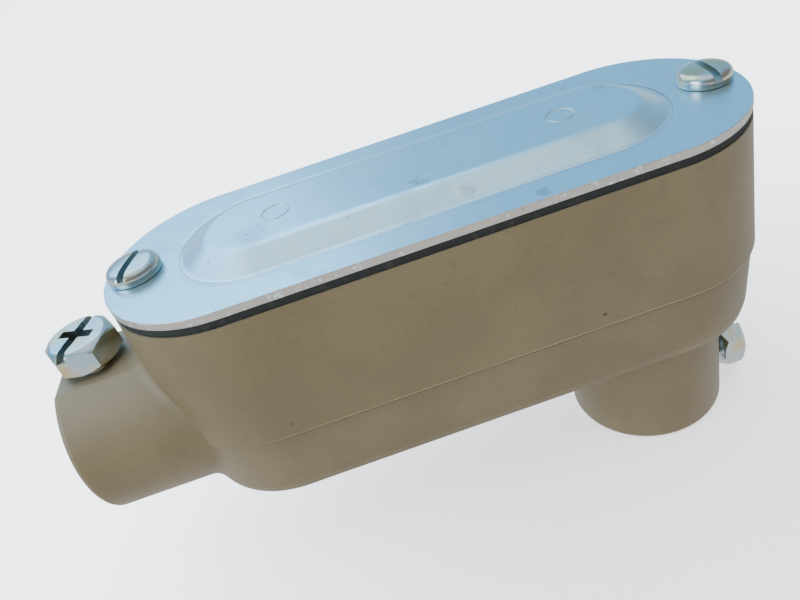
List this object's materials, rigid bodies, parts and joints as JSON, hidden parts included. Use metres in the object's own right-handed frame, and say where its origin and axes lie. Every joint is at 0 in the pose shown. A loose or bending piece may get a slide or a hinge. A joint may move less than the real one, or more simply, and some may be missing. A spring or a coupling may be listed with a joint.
{
  "type": "conduit body",
  "caption": "Type LB set-screw conduit body for trade size 1/2 EMT: cast housing with an end hub and a back hub, gasket, screwed cover and hex set screws.",
  "frame": {"origin": "centre of the end hub's bore at its conduit stop", "axes": "+X from the end hub along the body, +Z out through the cover, so the back hub points along -Z"},
  "size_m": [0.1029, 0.032, 0.0556],
  "materials": {
    "painted_casting": "satin grey-beige enamel on die-cast aluminium",
    "cover_sheet": "bare stamped sheet, semi-bright",
    "gasket_rubber": "matt",
    "screw_zinc": "bright zinc plate"
  },
  "bodies": {
    "housing": {"housing": "painted_casting", "gasket": "gasket_rubber"},
    "cover": {"cover": "cover_sheet"},
    "cover_screw_hub_end": {"cover_screw_hub_end": "screw_zinc"},
    "cover_screw_elbow_end": {"cover_screw_elbow_end": "screw_zinc"},
    "set_screw_end_hub": {"set_screw_end_hub": "screw_zinc"},
    "set_screw_back_hub": {"set_screw_back_hub": "screw_zinc"}
  },
  "joints": [
    {"name": "cover_lift", "type": "slide", "parent": "housing", "child": "cover", "axis": [0, 0, 1], "range_m": [0, 0.03]},
    {"name": "cover_screw_hub_end_travel", "type": "slide", "parent": "cover", "child": "cover_screw_hub_end", "axis": [0, 0, 1], "range_m": [0, 0.007]},
    {"name": "cover_screw_elbow_end_travel", "type": "slide", "parent": "cover", "child": "cover_screw_elbow_end", "axis": [0, 0, 1], "range_m": [0, 0.007]},
    {"name": "set_screw_end_hub_travel", "type": "slide", "parent": "housing", "child": "set_screw_end_hub", "axis": [0, 0, 1], "range_m": [-0.0009, 0.0018]},
    {"name": "set_screw_back_hub_travel", "type": "slide", "parent": "housing", "child": "set_screw_back_hub", "axis": [1, 0, 0], "range_m": [-0.0016, 0.0011]}
  ]
}
